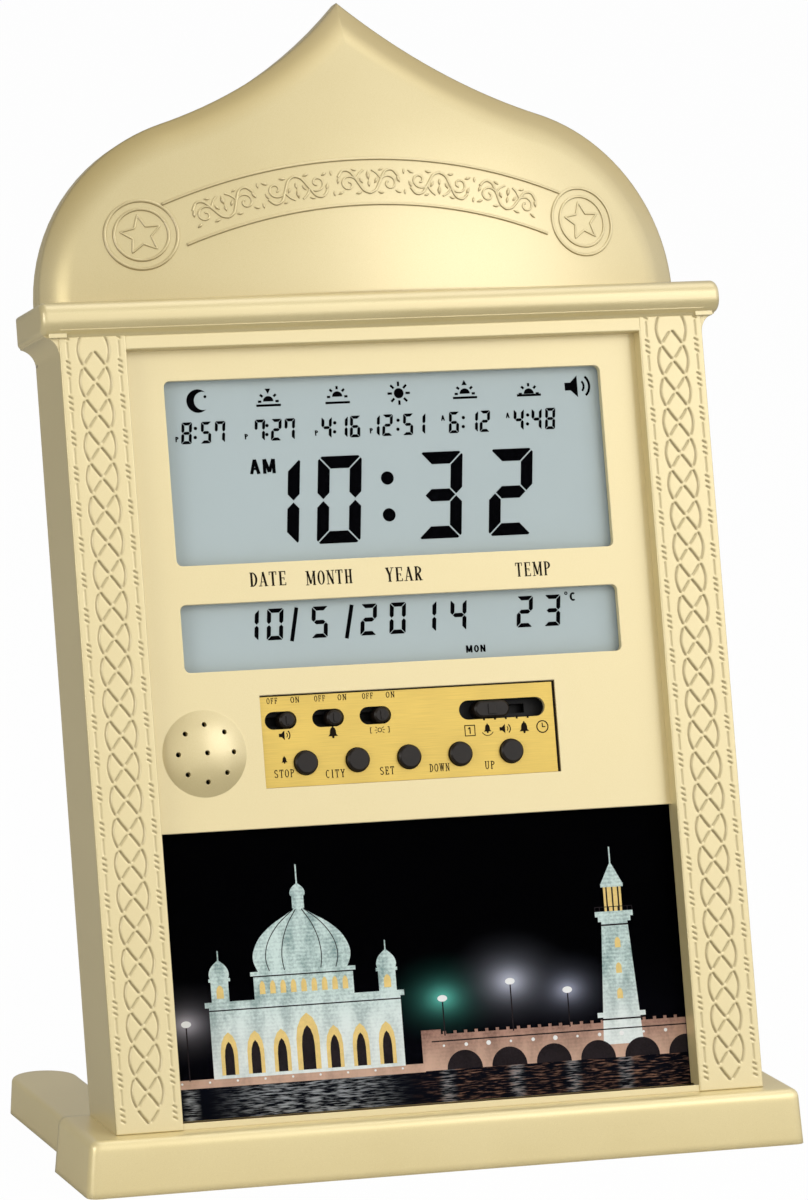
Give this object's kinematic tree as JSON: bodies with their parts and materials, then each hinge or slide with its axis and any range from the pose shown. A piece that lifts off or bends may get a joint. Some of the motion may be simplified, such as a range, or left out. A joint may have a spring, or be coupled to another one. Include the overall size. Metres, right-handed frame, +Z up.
{
  "type": "azan clock",
  "caption": "Leaning onion-domed prayer alarm clock with liquid-crystal displays, a control strip, a speaker grille and a picture panel, on a plinth with plug-in rear feet.",
  "frame": {"origin": "centre of the footprint, on the surface that the plinth and the feet stand on", "axes": "+Z up, the clock faces -Y, +X to the right of someone who reads it"},
  "size_m": [0.181, 0.102, 0.2743],
  "materials": {
    "gold": "satin moulded plastic in a pale gold lacquer",
    "gold_stand": "satin moulded plastic in a slightly deeper gold",
    "plate_gold": "printed foil plate in a deeper yellow gold",
    "black_knob": "near-black moulded plastic",
    "clear_sheet": "clear polished sheet",
    "lcd_glass": "grey-green reflective liquid-crystal glass",
    "rubber_strip": "silicone connector strip",
    "tray_white": "white moulded plastic",
    "print_card": "printed card, semi-gloss",
    "backing_board": "pressed brown backing sheet",
    "circuit_board": "green solder-masked laminate",
    "chip_black": "moulded epoxy",
    "bright_steel": "zinc-plated steel",
    "spring_nickel": "nickel-plated spring steel",
    "cell_jacket": "shrink-wrapped round cell, plain jacket",
    "capacitor_can": "sleeved can",
    "speaker_black": "pressed basket in black",
    "cone_paper": "doped paper",
    "magnet": "ferrite magnet",
    "wire": "insulated wire",
    "ribbon": "flat grey cable"
  },
  "bodies": {
    "case": {"backing_screws": "bright_steel", "battery_leads": "wire", "battery_lower": "cell_jacket", "battery_springs": "spring_nickel", "battery_upper": "cell_jacket", "board_screws": "bright_steel", "capacitors": "capacitor_can", "case_screws": "bright_steel", "clamp_screws": "bright_steel", "clock_chip": "chip_black", "contact_bridge": "spring_nickel", "contact_negative": "spring_nickel", "contact_positive": "spring_nickel", "control_plate": "plate_gold", "crest": "gold", "crystal": "bright_steel", "date_connector": "rubber_strip", "date_display": "lcd_glass", "display_lens": "clear_sheet", "display_tray": "tray_white", "fascia": "gold", "fascia_screws": "bright_steel", "foot_left": "gold_stand", "foot_right": "gold_stand", "foot_screws": "bright_steel", "front_frame": "gold", "main_board": "circuit_board", "main_connector": "rubber_strip", "main_display": "lcd_glass", "mode_switch": "chip_black", "picture_backing": "backing_board", "picture_card": "print_card", "picture_lens": "clear_sheet", "plinth": "gold_stand", "rear_cover": "gold", "ribbon_cable": "ribbon", "slide_switches": "chip_black", "speaker_clamp": "bright_steel", "speaker_cone": "cone_paper", "speaker_frame": "speaker_black", "speaker_lead": "wire", "speaker_magnet": "magnet", "stand_screws": "bright_steel", "switch_board": "circuit_board", "tact_switches": "chip_black", "temperature_sensor": "chip_black", "voice_chip": "chip_black"},
    "stop_button": {"stop_button": "black_knob"},
    "city_button": {"city_button": "black_knob"},
    "set_button": {"set_button": "black_knob"},
    "down_button": {"down_button": "black_knob"},
    "up_button": {"up_button": "black_knob"},
    "call_knob": {"call_knob": "black_knob"},
    "alarm_knob": {"alarm_knob": "black_knob"},
    "lamp_knob": {"lamp_knob": "black_knob"},
    "mode_knob": {"mode_knob": "black_knob"},
    "battery_door": {"battery_door": "gold"}
  },
  "joints": [
    {"name": "stop_press", "type": "slide", "parent": "case", "child": "stop_button", "axis": [0, 0.9715, -0.2368], "range_m": [0, 0.0008], "stiffness_N_per_m": 1500},
    {"name": "city_press", "type": "slide", "parent": "case", "child": "city_button", "axis": [0, 0.9715, -0.2368], "range_m": [0, 0.0008], "stiffness_N_per_m": 1500},
    {"name": "set_press", "type": "slide", "parent": "case", "child": "set_button", "axis": [0, 0.9715, -0.2368], "range_m": [0, 0.0008], "stiffness_N_per_m": 1500},
    {"name": "down_press", "type": "slide", "parent": "case", "child": "down_button", "axis": [0, 0.9715, -0.2368], "range_m": [0, 0.0008], "stiffness_N_per_m": 1500},
    {"name": "up_press", "type": "slide", "parent": "case", "child": "up_button", "axis": [0, 0.9715, -0.2368], "range_m": [0, 0.0008], "stiffness_N_per_m": 1500},
    {"name": "call_slide", "type": "slide", "parent": "case", "child": "call_knob", "axis": [1, 0, 0], "range_m": [-0.0032, 0]},
    {"name": "alarm_slide", "type": "slide", "parent": "case", "child": "alarm_knob", "axis": [1, 0, 0], "range_m": [-0.0032, 0]},
    {"name": "lamp_slide", "type": "slide", "parent": "case", "child": "lamp_knob", "axis": [1, 0, 0], "range_m": [-0.0032, 0]},
    {"name": "mode_slide", "type": "slide", "parent": "case", "child": "mode_knob", "axis": [1, 0, 0], "range_m": [-0.0027, 0.0081]},
    {"name": "door_hinge", "type": "hinge", "parent": "case", "child": "battery_door", "pos_m": [0, -0.01394, 0.03196], "axis": [-1, 0, 0], "range_deg": [0, 100]}
  ]
}
